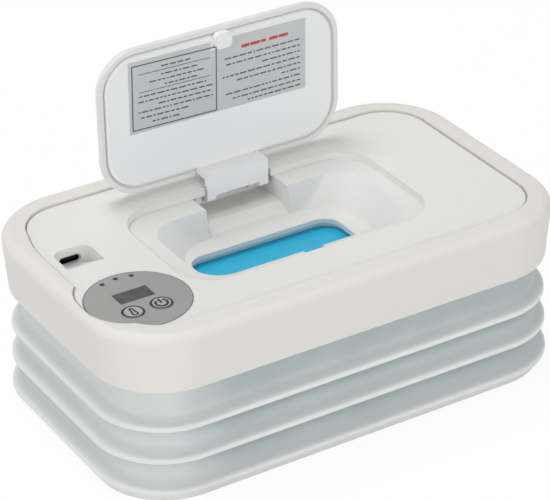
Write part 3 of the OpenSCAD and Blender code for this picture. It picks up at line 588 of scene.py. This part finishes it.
def label_frame():
    """The frame and the two rules across it."""
    left, right = FRAME_X - FRAME_L / 2, FRAME_X + FRAME_L / 2
    low, high = FRAME_Z - FRAME_H / 2, FRAME_Z + FRAME_H / 2
    corners = [(left, low), (right, low), (right, high), (left, high)]
    sides = [flat_bar(*corners[k], *corners[(k + 1) % 4], FRAME_LINE) for k in range(4)]
    breaks = [flat_bar(BREAK_LEFT, z, BREAK_RIGHT, z, BREAK_LINE) for z in BREAK_AT]
    printed("label_frame", sides + breaks, in_frame, RULE, "lid")


def label_text():
    """The lines in the frame, those beside it and the red heading."""
    printed("label_notes", words(NOTES), in_frame, RULE, "lid")
    printed("label_rules", words([(left, TEXT_RIGHT, z) for left, z in TEXT]),
            on_label, RULE, "lid")
    heading = [flat_bar(x, HEADING_Z, x + length, HEADING_Z, HEADING_H)
               for x, length in HEADING]
    printed("label_heading", heading, on_label, RED, "lid")


label_frame()
label_text()


# ---------------------------------------------------------------- stage and light

FLOOR_HALF = 4            # metres
FLOOR_GREY = (0.86, 0.86, 0.86, 1)
FLOOR_ROUGH = 0.9
FLOOR_GLOW = 1.03
GLOW_SHARE = 0.9          # of the glow where it is looked at; the rest shows the shadow
CLEAN_WHITE = (1, 1, 1, 1)


def looked_at(tree):
    """1 on camera, glossy and transmission rays, and 0 on the rest."""
    nodes, links = tree.nodes, tree.links
    seen = nodes.new("ShaderNodeLightPath")
    most = nodes.new("ShaderNodeMath")
    most.operation = "MAXIMUM"
    also = nodes.new("ShaderNodeMath")
    also.operation = "MAXIMUM"
    links.new(seen.outputs["Is Camera Ray"], most.inputs[0])
    links.new(seen.outputs["Is Glossy Ray"], most.inputs[1])
    links.new(most.outputs[0], also.inputs[0])
    links.new(seen.outputs["Is Transmission Ray"], also.inputs[1])
    return also.outputs[0]


def blended(tree, share, first, second, target):
    """Sends a blend of two shaders to the target socket."""
    blend = tree.nodes.new("ShaderNodeMixShader")
    tree.links.new(share, blend.inputs["Fac"])
    tree.links.new(first, blend.inputs[1])
    tree.links.new(second, blend.inputs[2])
    tree.links.new(blend.outputs["Shader"], target)


def floor():
    """Plain pale floor: white where the camera looks at it, with the object's shadow."""
    half = FLOOR_HALF
    mesh = bpy.data.meshes.new("floor")
    mesh.from_pydata([(-half, -half, 0), (half, -half, 0), (half, half, 0), (-half, half, 0)],
                     [], [(0, 1, 2, 3)])
    obj = bpy.data.objects.new("floor", mesh)
    bpy.context.scene.collection.objects.link(obj)
    mat = bpy.data.materials.new("pale_floor")
    mat.use_nodes = True
    tree = mat.node_tree
    shader = tree.nodes["Principled BSDF"]
    shader.inputs["Base Color"].default_value = FLOOR_GREY
    shader.inputs["Roughness"].default_value = FLOOR_ROUGH
    glow = tree.nodes.new("ShaderNodeEmission")
    glow.inputs["Color"].default_value = CLEAN_WHITE
    glow.inputs["Strength"].default_value = FLOOR_GLOW
    share = tree.nodes.new("ShaderNodeMath")
    share.operation = "MULTIPLY"
    share.inputs[1].default_value = GLOW_SHARE
    tree.links.new(looked_at(tree), share.inputs[0])
    blended(tree, share.outputs[0], shader.outputs["BSDF"], glow.outputs["Emission"],
            tree.nodes["Material Output"].inputs["Surface"])
    mesh.materials.append(mat)


def sky(strength, colour):
    """Even pale surround for light, white where it is looked at."""
    world = bpy.data.worlds.new("studio")
    bpy.context.scene.world = world
    world.use_nodes = True
    tree = world.node_tree
    light = tree.nodes["Background"]
    light.inputs["Color"].default_value = (*colour, 1)
    light.inputs["Strength"].default_value = strength
    white = tree.nodes.new("ShaderNodeBackground")
    white.inputs["Color"].default_value = CLEAN_WHITE
    white.inputs["Strength"].default_value = 1
    blended(tree, looked_at(tree), light.outputs["Background"], white.outputs["Background"],
            tree.nodes["World Output"].inputs["Surface"])


def softbox(name, place, target, size, watts, colour):
    """Large round soft lamp at a place, turned to a target; lengths in metres."""
    data = bpy.data.lights.new(name, "AREA")
    data.shape = "DISK"
    data.size = size
    data.energy = watts
    data.color = colour
    lamp = bpy.data.objects.new(name, data)
    lamp.location = place
    lamp.rotation_euler = (Vector(target) - Vector(place)).to_track_quat("-Z", "Y").to_euler()
    bpy.context.scene.collection.objects.link(lamp)


floor()
sky(0.44, (0.97, 0.985, 1.0))
softbox("top", (-0.2, 0.3, 1.45), (0, 0, 0.05), 0.7, 8.4, (1.0, 0.99, 0.98))
softbox("left_low", (-1.4, -0.35, 0.3), (0, 0, 0.04), 0.8, 4.4, (1.0, 0.995, 0.99))
softbox("front", (0.1, -1.6, 0.42), (0, 0, 0.06), 1.2, 8.0, (0.99, 0.992, 1.0))

bpy.context.scene.view_settings.view_transform = "Standard"
